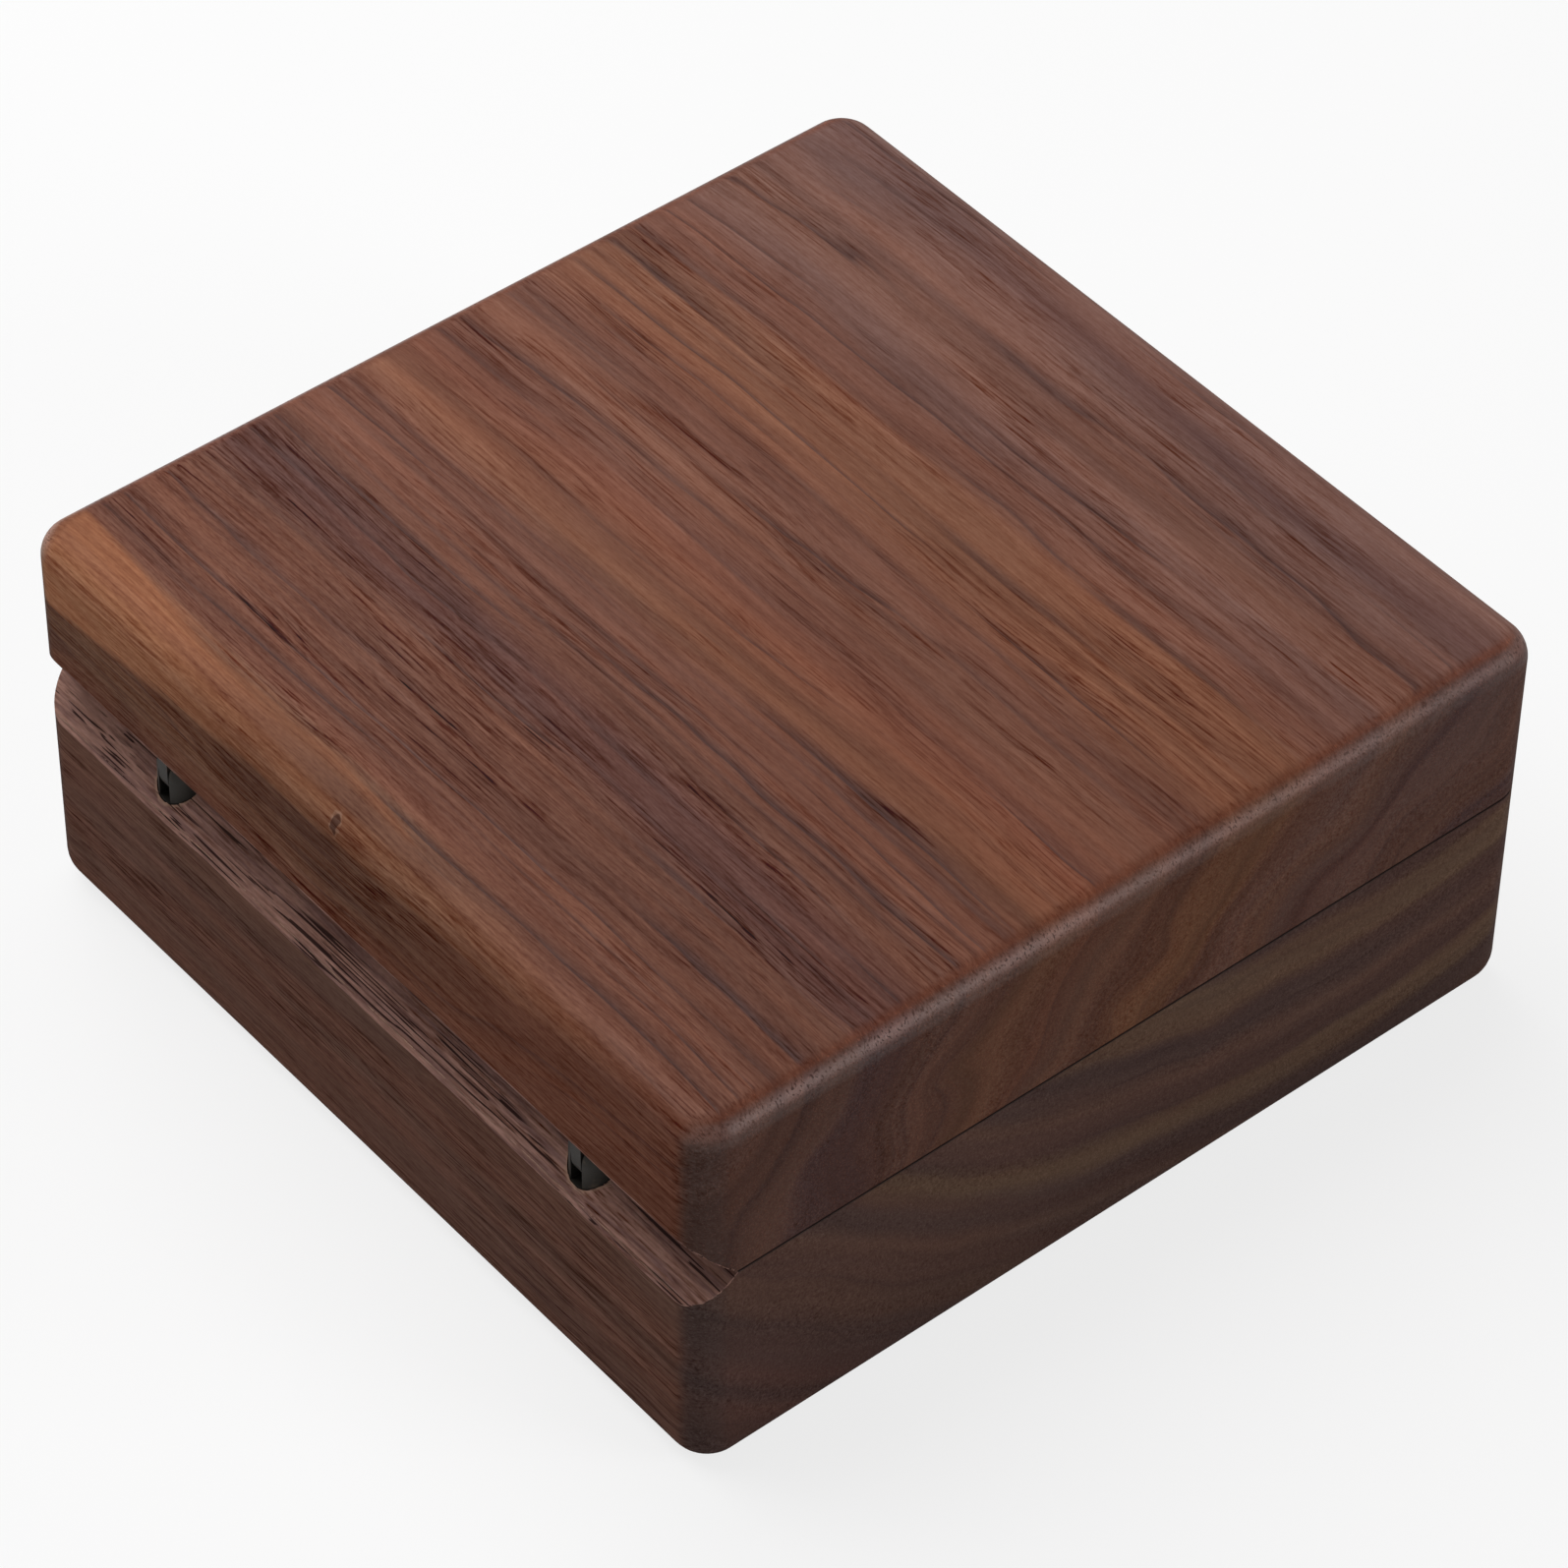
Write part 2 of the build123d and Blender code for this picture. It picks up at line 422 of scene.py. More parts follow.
class Wood:
    """The solid figure of one block of walnut, grain along X, in millimetres of Object space."""

    def __init__(self, bench, figure):
        self.bench = bench
        self.seed = figure.seed
        around = self.x, self.y, self.z = bench.millimetres()
        facing = bench.node("ShaderNodeTexCoord", output="Normal")
        self.facing_x, self.facing_y, self.facing_z = bench.split(facing)
        lean = (bench.noise(around, (28, 9, 9), self.seed + 1, detail=1.0) - 0.5) * 2.2
        swirl = (bench.noise(around, (60, 15, 13), self.seed + 2, detail=1.0) - 0.5) * figure.swirl
        depth = abs(self.z - figure.swirl_from).ramp(1.5, 11.0)
        across = self.y - figure.heart[0]
        up = self.z - figure.heart[1]
        drift = (bench.noise(around, (80, 30, 30), self.seed + 3, detail=0.0) - 0.5) * 3.0
        self.ring = (across * across + up * up).root() + drift + lean * 0.5 + swirl * depth
        self.turn = across.maths("ARCTAN2", up, across) * TURN_LENGTH
        self.grain = [self.x, self.ring, self.turn]
        self.cell = [self.x, self.y + lean, self.z + lean]
        self.gather = self.along((26, 3.4, 40), 8).ramp(0.36, 0.64)
        self.cluster = self.along((17, 1.1, 30), 7, detail=1.0).ramp(0.53, 0.68)
        self.cluster = self.cluster * self.along((46, 6.0, 50), 6).ramp(0.46, 0.62)

    def along(self, lengths, shift, detail=0.0, roughness=0.5):
        """Noise that follows the growth rings."""
        return self.bench.noise(self.grain, lengths, self.seed + shift, detail, roughness)

    def within(self, lengths, shift, detail=0.0, roughness=0.5):
        """Noise that runs straight along the grain and pays no heed to the rings."""
        return self.bench.noise(self.cell, lengths, self.seed + shift, detail, roughness)

    def bands(self, bands):
        """The broad tones, from the heart outwards."""
        low, high = bands[0][0], bands[-1][0]
        stops = [((radius - low) / (high - low), tone) for radius, tone in bands]
        wander = (self.along((34, 2.6, 60), 4, detail=1.0) - 0.5) * 2.6
        share = (self.ring + wander - low) / (high - low)
        return self.bench.node("ShaderNodeValToRGB", {"stops": stops}, {0: share})

    def late_wood(self, lines):
        """How dark the ends of the growth rings are."""
        total = 0.0
        for radius, width, strength in lines:
            rise = self.ring.ramp(radius - width, radius, 0.0, strength, soft=False)
            total = rise * self.ring.ramp(radius, radius + 0.4, 1.0, 0.0) + total
        return total * self.along((24, 3.0, 40), 5).ramp(0.36, 0.62, 0.35, 1.0)

    def year_lines(self):
        """The thin dark line that ends each year's growth, sharp on its outer side."""
        jitter = (self.within((7, 1.2, 1.2), 32) - 0.5) * 0.5
        years = (self.ring + jitter) / YEAR_WIDTH + (self.along((90, 7.0, 90), 30) - 0.5) * 2.4
        part = years.maths("FRACT", years)
        line = part.ramp(0.50, 0.95, soft=False) ** 2.5 * part.ramp(0.95, 1.0, 1.0, 0.0, soft=False)
        return line * self.along((42, 2.2, 60), 31, detail=1.0).ramp(0.44, 0.62)

    def streaks(self, end):
        """Streaks a few millimetres wide, lighter and darker, fainter on the back."""
        wide = (self.along((50, 4.0, 60), 20) - 0.5) * 0.30
        middle = (self.along((36, 2.0, 40), 21) - 0.5) * 0.36
        narrow = (self.along((30, 1.0, 10), 22) - 0.5) * (0.46 - end * 0.26)
        return (wide + middle + narrow) * self.facing_y.ramp(0.3, 0.9, 1.0, 0.55)

    def fibre_lines(self):
        """Fine lines along the grain, lighter and darker, on end grain a fine mottle."""
        coarse = (self.within((24, 0.5, 0.5), 23) - 0.5) * 0.50
        return (coarse + (self.within((8.0, 0.25, 0.25), 24) - 0.5) * 0.68) * (0.65 + self.gather * 0.5)

    def pore_lines(self):
        """Open pores: dark thin lines that gather in groups."""
        thin = self.within((6.0, 0.22, 0.22), 9, detail=1.0).ramp(0.53, 0.62)
        bold = self.within((13.0, 0.36, 0.36), 10, detail=1.0).ramp(0.56, 0.65)
        thin = thin * (0.14 + self.gather * 0.26 + self.cluster * 0.25)
        return thin + bold * (0.05 + self.gather * 0.20 + self.cluster * 0.25)

    def grains(self):
        """The cut ends of the vessels, as small pale grains on end grain."""
        return self.within((2.0, 0.15, 0.15), 25).ramp(0.60, 0.74)

    def pits(self):
        """The larger open vessels, as dark dots on end grain."""
        return self.within((2.5, 0.21, 0.21), 26).ramp(0.62, 0.68)

    def coarseness(self):
        """Where the fine lines are stronger: in the last rings of the lid, at its back."""
        return self.ring.ramp(lid_ring(17.0), lid_ring(25.0))

    def hair(self):
        """The finest grain, seen close by only."""
        return self.within((1.0, 0.18, 0.18), 11, detail=1.0, roughness=0.6) - 0.5

    def warmth(self):
        """Where the wood turns redder, from 0 to 1."""
        return self.along((30, 4.5, 40), 13, detail=1.0).ramp(0.38, 0.62)

    def end_grain(self):
        """1 where the surface cuts across the grain."""
        return abs(self.facing_x).ramp(0.03, 0.55)

    def polish(self, end, pits):
        """Wax, rubbed up by hands: thicker on top, and most on the edge of its end grain."""
        rising = self.facing_z.ramp(0.05, 0.35)
        edge = self.facing_z.ramp(0.80, 0.98, 0.42, 0.0) * end * (1.0 - pits)
        return 0.03 + rising * (0.17 + edge * self.y.ramp(-45, 42, 0.4, 1.0))

    def painted_edge_highlight(self, end):
        """Painted highlight where the end grain turns to the top: a pale pink band in patches,
        strongest towards +y.
        """
        ridge = self.facing_z.ramp(0.35, 0.62) * self.facing_z.ramp(0.70, 0.93, 1.0, 0.0)
        patchy = self.within((9, 6.0, 9.0), 33, detail=1.0).ramp(0.35, 0.6, 0.5, 1.0)
        return ridge * end * patchy * self.y.ramp(-45, 42, 0.6, 1.0)

    def reach(self):
        """How far out a place lies, along x or y, whichever is more."""
        return abs(self.x).most(abs(self.y))

    def seam_gap_shade(self):
        """1 along the joint between the halves, where the gap's shade is painted."""
        outer = self.reach().ramp(HIGH.x / MM - 0.5, HIGH.x / MM - 0.4)
        return abs(self.z - AXIS.z / MM).ramp(0.10, 0.24, 1.0, 0.0) * outer

    def groove_mask(self, leg):
        """1 on the cut faces of the V groove, which got no finish."""
        rag = (self.within((7.0, 0.5, 0.5), 14) - 0.5) * 0.30
        depth = (self.y - (HIGH.y / MM - leg)) - abs(self.z - AXIS.z / MM)
        return (depth + rag).ramp(-0.24, -0.10)

    def hole_rims(self, radius):
        """1 on the crushed wood around the hinge holes."""
        over, back = abs(self.x) - HINGE_X / MM, self.y - AXIS.y / MM
        distance = (over * over + back * back).root()
        rag = (self.within((0.5, 0.5, 0.5), 15) - 0.5) * 0.35
        return (distance + rag).ramp(radius + 0.05, radius + 0.32, 1.0, 0.0)

    def hollow_mask(self, half, low, high):
        """1 inside the milled hollows."""
        inner = self.reach().ramp(half + 0.7, half + 0.75, 1.0, 0.0)
        middle, depth = (low + high) / 2, (high - low) / 2
        return inner * abs(self.z - middle).ramp(depth + 0.1, depth + 0.15, 1.0, 0.0)


# The sapwood lies beyond a slanted plane: its slope along x, y and z, and where it starts and is full
SAP_SLOPE = (0.035, 0.763, 0.647)
SAP_START, SAP_FULL = 64.1, 65.0


def sapwood(wood):
    """The pale streak along the top back edge of the lid, widest at the right-hand end."""
    wander = (wood.along((20, 3.0, 30), 18) - 0.5) * 1.9
    wander = wander + (wood.within((14, 0.9, 0.9), 35, detail=1.0) - 0.5) * 1.4
    slope_x, slope_y, slope_z = SAP_SLOPE
    corner = wood.y * slope_y + wood.z * slope_z + wood.x * slope_x + wander
    return corner.ramp(SAP_START, SAP_FULL) * wood.x.ramp(-50, 30, 0.15, 1.0, soft=False)


def olive_foot(wood):
    """Where the heartwood below the pale edge turns olive."""
    return wood.z.ramp(29.0, 36.0) * wood.y.ramp(44.0, 46.0) * wood.x.ramp(-30, 10)


# The small knot at the back edge: its middle, and how much shorter it is along the grain, squared
PIN_KNOT = (2.1, 49.8, 43.1)
PIN_KNOT_SQUASH = 0.28


def pin_knot(wood):
    """How far a place is from the middle of the small knot at the back edge, 1 at its rim."""
    over, back, up = [part - centre for part, centre in zip((wood.x, wood.y, wood.z), PIN_KNOT)]
    rag = (wood.within((0.5, 0.5, 0.5), 19) - 0.5) * 0.9
    return (over * over / PIN_KNOT_SQUASH + (back * back + up * up)).root() + rag


def raw_wood(bench, wood, fine, rims, fine_tint):
    """Colour and height of the unfinished wood on the cut faces of the groove."""
    streak = wood.within((12.0, 0.7, 0.7), 16, detail=3.0, roughness=0.6)
    colour = bench.mix(streak.ramp(0.40, 0.66), RAW, RAW_DARK)
    colour = bench.vary(colour, fine, fine_tint)
    colour = bench.mix(rims * 0.55, colour, TORN)
    pores = wood.within((16.0, 0.20, 0.20), 17).ramp(0.61, 0.65)
    pores = pores * wood.along((24, 1.6, 20), 28).ramp(0.38, 0.48)
    return bench.mix(pores * 0.92, colour, RAW_PORE), streak * 1.2 - pores * 1.5


def walnut(figure, tones, sizes):
    """Oiled walnut with raw wood in the groove."""
    material, bench = new_material(figure.name)
    wood = Wood(bench, figure)
    end = wood.end_grain()
    pores, pits, hair, grains = wood.pore_lines(), wood.pits(), wood.hair(), wood.grains()
    fine = wood.fibre_lines() + hair * 0.70 - pores * (1.0 - end * 0.6) + grains * end * 0.35
    fine = fine * (0.84 + wood.facing_y.ramp(0.3, 0.9) * 0.16)
    groove = wood.groove_mask(sizes.groove / MM)
    rims = wood.hole_rims((BARREL_RADIUS + sizes.hole_play) / MM) * groove
    hollow = wood.hollow_mask((HIGH.x - sizes.wall) / MM, sizes.floor / MM, (HIGH.z - sizes.roof) / MM)

    colour = wood.bands(figure.bands)
    late = wood.late_wood(figure.lines) * 0.75 + wood.year_lines() * 0.80 * figure.contrast
    late = (late * (1.0 - end * 0.6) * wood.facing_y.ramp(0.3, 0.9, 1.0, 0.6)).least(0.8)
    dark, red = wood.cluster * 0.20, wood.warmth() * 0.20
    if figure.pale_edge:
        sap, foot = sapwood(wood), olive_foot(wood)
        dark_hair = wood.within((30, 0.26, 0.26), 27).ramp(0.50, 0.60)
        colour = bench.layers(colour, (foot * 0.55, OLIVE), (foot * dark_hair * 0.50, KNOT))
        dark, red, late = [part * (1.0 - sap) for part in (dark, red, late)]
        coarse = wood.coarseness() * (0.60 - sap * 0.30) * (1.0 - end)
        fine = fine * (1.0 + coarse) + pores * sap * 0.7
        sap_tone = bench.mix(wood.facing_z.ramp(0.5, 0.97), PALE_SAP, SAP)
        # Painted reflection: bluish grey laid towards the far +x and -y edges of the top, less towards
        # the back, and on the end grain towards +y
        reflection_share = wood.x.ramp(-50, 50, 0.02, 0.10, soft=False) + wood.y.ramp(-48, -8, 0.08, 0.0)
        reflection_share = reflection_share * wood.y.ramp(10, 34, 1.0, 0.3) + end * wood.y.ramp(-5, 35, 0.0, 0.08)
        knot = pin_knot(wood)
        colour = bench.layers(
            colour, (sap, sap_tone), (reflection_share * (1.0 - sap * 0.8), REFLECTION_GREY),
            (knot.ramp(1.2, 1.6, 0.45, 0.0), TORN), (knot.ramp(0.9, 1.15, 0.85, 0.0), KNOT))
    colour = bench.layers(colour, (red, RUSSET), (late, DUSK), (dark, SMOKE))
    colour = bench.mix(end, colour, figure.end_tint, "MULTIPLY")
    pore = tuple(tones.pore)
    if figure.pale_edge:
        glow = grains * end * 0.32 + end * wood.facing_z.ramp(0.78, 0.95) * 0.75
        # Painted highlight on the end grain's top edge, with the pore colour laid as dark dots in it
        rubbed = wood.painted_edge_highlight(end)
        colour = bench.layers(
            colour, (glow, EMBER), (rubbed * 0.30, PAINTED_HIGHLIGHT), (rubbed * pits * 0.75, pore))
    upright = abs(wood.facing_x * wood.facing_y).ramp(0.12, 0.45)
    upright = upright * wood.facing_z.ramp(0.05, 0.5, 1.0, 0.0)
    colour = bench.mix(upright * 0.35, colour, WORN)
    # Partly the wood's own tone and partly painted light: the top is made lighter towards +x, where the
    # key softbox falls stronger, and towards the -y edge
    paler_and_lit = wood.x.ramp(-10, 35, 0.0, 0.12) + wood.y.ramp(-50, -34, 0.12, 0.0)
    paler_and_lit = wood.facing_z.ramp(0.5, 0.9) * paler_and_lit
    colour = bench.vary(colour, wood.streaks(end) * figure.contrast + paler_and_lit, BROAD_TINT)
    colour = bench.vary(colour, fine, figure.fine_tint)
    # Painted shade: the joint between the halves is darkened with the pore colour, standing in for the
    # shadow in the gap
    colour = bench.mix(wood.seam_gap_shade() * 0.9, colour, pore)

    raw, raw_height = raw_wood(bench, wood, fine, rims, figure.fine_tint)
    colour = bench.mix(groove, colour, raw)
    colour = bench.mix(hollow, colour, HOLLOW_SHADE, "MULTIPLY")

    roughness = 0.45 + pores * 0.3 + groove * 0.35 + hollow * 0.10 + hair * 0.15
    cutter = mill_marks(wood) * hollow * abs(wood.facing_z).ramp(0.8, 0.95)
    height = hair * 0.8 - grains * end * 0.6 + groove * raw_height + cutter * 0.35
    sockets = {
        "Base Color": colour,
        "Roughness": roughness,
        "Specular IOR Level": 0.0,
        "Coat Weight": wood.polish(end, pits) * (1.0 - groove) * (1.0 - hollow),
        "Coat Roughness": 0.36,
        "Coat IOR": 1.4,
    }
    close_material(bench, sockets, height, 0.05 * MM)
    return material


def mill_marks(wood):
    """Faint arcs that the cutter leaves on the floor of a hollow."""
    lane = wood.y / LANE_WIDTH
    offset = lane - lane.maths("ROUND", lane)
    arc = wood.x * 7.0 + offset * offset * 24.0
    return arc.maths("SINE", arc)


def dark_barrel_metal(tones):
    """Blackened brass, turned, with fine rings and rubbed patches."""
    material, bench = new_material("Blackened barrel")
    parts = bench.millimetres()
    rings = bench.noise(parts, (9.0, 9.0, 0.07), 21)
    patch = bench.noise(parts, (1.3, 1.3, 1.3), 22, detail=3.0, roughness=0.6)
    speck = bench.noise(parts, (0.16, 0.16, 0.16), 23, detail=1.0)
    rubbed = patch.ramp(0.56, 0.74) * 0.6
    colour = bench.mix(rubbed, tuple(tones.metal), RUBBED_BRASS)
    colour = bench.mix(speck.ramp(0.62, 0.72) * 0.5, colour, BLACK_SPECK)
    roughness = 0.42 + patch * 0.16 + rings * 0.1
    sockets = {"Base Color": colour, "Metallic": 0.85, "Roughness": roughness}
    close_material(bench, sockets, rings * 0.7 + speck * 0.3, 0.012 * MM)
    return material


def drawn_steel(tones):
    """Bright drawn wire with marks along it."""
    material, bench = new_material("Drawn steel")
    parts = bench.millimetres()
    draw = bench.noise(parts, (4.0, 0.05, 0.05), 31)
    stain = bench.noise(parts, (1.0, 0.6, 0.6), 32, detail=3.0)
    colour = bench.mix(stain.ramp(0.45, 0.75) * 0.5, tuple(tones.steel), STEEL_STAIN)
    sockets = {"Base Color": colour, "Metallic": 1.0, "Roughness": 0.24 + stain * 0.2}
    close_material(bench, sockets, draw, 0.006 * MM)
    return material


def nickel_plate(tones):
    """Nickel plating with fine scuffs and a few dull spots."""
    material, bench = new_material("Nickel plating")
    parts = bench.millimetres()
    scuff = bench.noise(parts, (1.6, 0.06, 0.4), 41)
    bloom = bench.noise(parts, (1.1, 1.1, 1.1), 42, detail=3.0)
    colour = bench.mix(bloom.ramp(0.5, 0.75) * 0.4, tuple(tones.nickel), NICKEL_BLOOM)
    roughness = 0.13 + bloom.ramp(0.4, 0.8, 0.0, 0.16) + scuff.ramp(0.58, 0.7, 0.0, 0.18)
    sockets = {"Base Color": colour, "Metallic": 1.0, "Roughness": roughness}
    close_material(bench, sockets, scuff, 0.004 * MM)
    return material


def pulled_fibre():
    """Pale raw fibre of the torn slivers."""
    material, bench = new_material("Pulled fibre")
    parts = bench.millimetres()
    shade = bench.noise(parts, (3.0, 0.8, 0.8), 51)
    colour = bench.mix(shade.ramp(0.35, 0.65), TORN_DARK, TORN)
    hair = bench.noise(parts, (1.0, 0.05, 0.05), 52, detail=1.0)
    sockets = {"Base Color": colour, "Roughness": 0.8 - shade * 0.1, "Specular IOR Level": 0.25}
    close_material(bench, sockets, hair, 0.02 * MM)
    return material


def add_object(name, data):
    """A new object in the scene."""
    made = bpy.data.objects.new(name, data)
    bpy.context.scene.collection.objects.link(made)
    return made


def link_mesh(name, made):
    """A new object from a bmesh, which is freed."""
    mesh = bpy.data.meshes.new(name)
    made.to_mesh(mesh)
    made.free()
    return add_object(name, mesh)


def settle(piece):
    """Turns a piece and its modifiers into one plain mesh."""
    graph = bpy.context.evaluated_depsgraph_get()
    mesh = bpy.data.meshes.new_from_object(piece.evaluated_get(graph), depsgraph=graph)
    mesh.name = piece.name
    old = piece.data
    piece.modifiers.clear()
    if piece.type == "MESH":
        piece.data = mesh
        bpy.data.meshes.remove(old)
        return piece
    name = piece.name
    bpy.data.objects.remove(piece)
    return add_object(name, mesh)


def cut(piece, cutters, operation="DIFFERENCE"):
    """Takes the cutters out of a piece, or adds them to it, and removes them."""
    for cutter in cutters:
        modifier = piece.modifiers.new("Cut", "BOOLEAN")
        modifier.operation = operation
        modifier.solver = "EXACT"
        modifier.object = cutter
    bpy.context.view_layer.update()
    settle(piece)
    for cutter in cutters:
        bpy.data.objects.remove(cutter)
    return piece


# Points closer than this are one, and edges sharper than this are broken
SAME_PLACE = 0.001 * MM
SHARP_ANGLE = math.radians(32)


def break_edges(piece, width):
    """Rounds the sharp edges a little and shades the rest smooth."""
    clean = bmesh.new()
    clean.from_mesh(piece.data)
    bmesh.ops.remove_doubles(clean, verts=clean.verts, dist=SAME_PLACE)
    bmesh.ops.dissolve_degenerate(clean, dist=SAME_PLACE, edges=clean.edges)
    bmesh.ops.recalc_face_normals(clean, faces=clean.faces)
    clean.to_mesh(piece.data)
    clean.free()
    bevel = piece.modifiers.new("Arris", "BEVEL")
    bevel.width = width
    bevel.segments = 2
    bevel.limit_method = "ANGLE"
    bevel.angle_limit = SHARP_ANGLE
    bevel.use_clamp_overlap = True
    piece.data.shade_smooth()
    normals = piece.modifiers.new("Normals", "WEIGHTED_NORMAL")
    normals.keep_sharp = True
    normals.weight = 60
    return settle(piece)


# Steps of the rounded corners, edges, dome and tongue
CORNER_STEPS = 12
EDGE_STEPS = 10
DOME_STEPS = 14
TONGUE_STEPS = 24
# How far a cutter reaches past what it cuts
RUN_OUT = 1.0 * MM


def quarter_arc(steps):
    """Sines and cosines of even steps from 0 to 90 degrees."""
    angles = [math.radians(90 * step / steps) for step in range(steps + 1)]
    return [(math.sin(angle), math.cos(angle)) for angle in angles]


def rounded_ring(half_x, half_y, radius, z):
    """The points of one level of a block with rounded corners."""
    points = []
    for quarter, (side_x, side_y) in enumerate(((1, 1), (-1, 1), (-1, -1), (1, -1))):
        for step in range(CORNER_STEPS + 1):
            angle = math.radians(90 * (quarter + step / CORNER_STEPS))
            x = side_x * (half_x - radius) + radius * math.cos(angle)
            y = side_y * (half_y - radius) + radius * math.sin(angle)
            points.append((x, y, z))
    return points


def stacked_solid(name, rings):
    """A closed solid through rings that have as many points each, or a single point at a pole."""
    made = bmesh.new()
    levels = [[made.verts.new(point) for point in ring] for ring in rings]
    steps = max(len(level) for level in levels)
    for low, high in zip(levels, levels[1:]):
        for step in range(steps):
            after = (step + 1) % steps
            places = ((low, step), (low, after), (high, after), (high, step))
            corners = [level[place % len(level)] for level, place in places]
            made.faces.new(list(dict.fromkeys(corners)))
    for level in (levels[0], levels[-1]):
        if len(level) > 1:
            made.faces.new(level)
    bmesh.ops.recalc_face_normals(made, faces=made.faces)
    return link_mesh(name, made)


def half_block(name, seam, end, edge_radius, corner_radius):
    """The uncut block of one half, from the seam to its rounded outer end."""
    away = 1 if end > seam else -1
    levels = [(0.0, seam)]
    for sine, cosine in quarter_arc(EDGE_STEPS):
        levels.append((edge_radius * (1 - cosine), end - away * edge_radius * (1 - sine)))
    return stacked_solid(name, [
        rounded_ring(HIGH.x - inset, HIGH.y - inset, corner_radius - inset, z) for inset, z in levels])


def hollow_cutter(sizes, floor, seam):
    """What the cutter takes out of one half, with the chamfer at its mouth."""
    away = 1 if seam > floor else -1
    foot, chamfer = sizes.hollow_foot, sizes.mouth_chamfer
    levels = []
    for sine, cosine in quarter_arc(EDGE_STEPS):
        levels.append((foot * (1 - sine), floor + away * foot * (1 - cosine)))
    levels.append((0.0, seam - away * chamfer))
    levels.append((-chamfer - RUN_OUT, seam + away * RUN_OUT))
    half, radius = HIGH.x - sizes.wall, sizes.hollow_radius
    return stacked_solid("hollow", [
        rounded_ring(half - inset, half - inset, radius - inset, z) for inset, z in levels])


def prism(name, outline, low, high):
    """A closed solid across X, between two places, from an outline of y and z."""
    return stacked_solid(name, [[(x, y, z) for y, z in outline] for x in (low, high)])


def groove_cutter(sizes):
    """The V prism that makes the groove along the hinged edge."""
    reach = sizes.groove + RUN_OUT
    bottom, mouth = HIGH.y - sizes.groove, HIGH.y + RUN_OUT
    corners = ((bottom, AXIS.z), (mouth, AXIS.z - reach), (mouth, AXIS.z + reach))
    return prism("groove", corners, LOW.x - RUN_OUT, HIGH.x + RUN_OUT)


def turned_solid(name, profile, steps=64):
    """A closed solid turned about the Z axis from points of radius and height."""
    rings = []
    for radius, height in profile:
        angles = [math.tau * step / steps for step in range(steps if radius else 1)]
        rings.append([(radius * math.cos(angle), radius * math.sin(angle), height) for angle in angles])
    return stacked_solid(name, rings)


def moved(piece, matrix):
    """Places a piece's mesh, and leaves its object at the origin."""
    piece.data.transform(matrix)
    return piece


def drill(radius, low, high, x, y):
    """An upright cylinder for a hole."""
    bar = turned_solid("drill", ((0, low), (radius, low), (radius, high), (0, high)), 56)
    return moved(bar, Matrix.Translation((x, y, 0)))


# Gaps around a magnet and around a pin in its fork, and the depth of a tongue's root in its barrel
MAGNET_PLAY = 0.05 * MM
PIN_FIT = 0.01 * MM
TONGUE_ROOT = 0.5 * MM
# The chamfer of a pin, and the broken edges of the pins and the magnets
PIN_CHAMFER = 0.12 * MM
PIN_EDGE = 0.03 * MM
MAGNET_EDGE = 0.01 * MM


def carve_half(name, sizes, seam, end, edge_radius, floor):
    """One half of the box with its hollow, groove and drilled holes."""
    away = 1 if end > seam else -1
    hole_end = AXIS.z + away * (BARREL_LENGTH + sizes.hole_end)
    recess_end = seam + away * (BASE_HIGH.z - MAGNET_LOW.z)
    magnet_x = -(MAGNET_LOW.x + MAGNET_HIGH.x) / 2
    magnet_y = (MAGNET_LOW.y + MAGNET_HIGH.y) / 2
    holes = (
        (BARREL_RADIUS + sizes.hole_play, hole_end, HINGE_X, AXIS.y),
        (MAGNET_RADIUS + MAGNET_PLAY, recess_end, magnet_x, magnet_y),
    )
    cutters = [hollow_cutter(sizes, floor, seam), groove_cutter(sizes)]
    for _, side in SIDES:
        for radius, depth, x, y in holes:
            low, high = sorted((seam - away * RUN_OUT, depth))
            cutters.append(drill(radius, low, high, side * x, y))
    half = half_block(name, seam, end, edge_radius, sizes.corner_radius)
    return break_edges(cut(half, cutters), sizes.arris)


def dress(piece, material, body, nodes=()):
    """Gives a finished piece its material and body, and hides the CAD nodes that it stands for."""
    piece.data.materials.clear()
    piece.data.materials.append(material)
    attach(piece, body)
    if nodes:
        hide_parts(*nodes)
    return piece


def barrel_profile(hinge, head):
    """Half outline of a barrel that hangs from the hinge axis, from its blind end up."""
    waist = BARREL_RADIUS - hinge.waist_depth
    low = hinge.waist_end - BARREL_LENGTH
    points = [
        (0, -BARREL_LENGTH),
        (BARREL_RADIUS - hinge.end_chamfer, -BARREL_LENGTH),
        (BARREL_RADIUS, hinge.end_chamfer - BARREL_LENGTH),
        (BARREL_RADIUS, low),
        (waist, low + hinge.waist_depth),
        (waist, low + hinge.waist_length - hinge.waist_depth),
        (BARREL_RADIUS, low + hinge.waist_length),
    ]
    return points + head


def cross_bar(name, radius, length, edge=0.0):
    """A bar along X through the origin, with chamfered ends where an edge is given."""
    half = length / 2
    rim = [(radius - edge, -half), (radius, edge - half), (radius, half - edge), (radius - edge, half)]
    profile = [(0, -half), *dict.fromkeys(rim), (0, half)]
    return moved(turned_solid(name, profile, 40), Matrix.Rotation(math.radians(90), 4, "Y"))


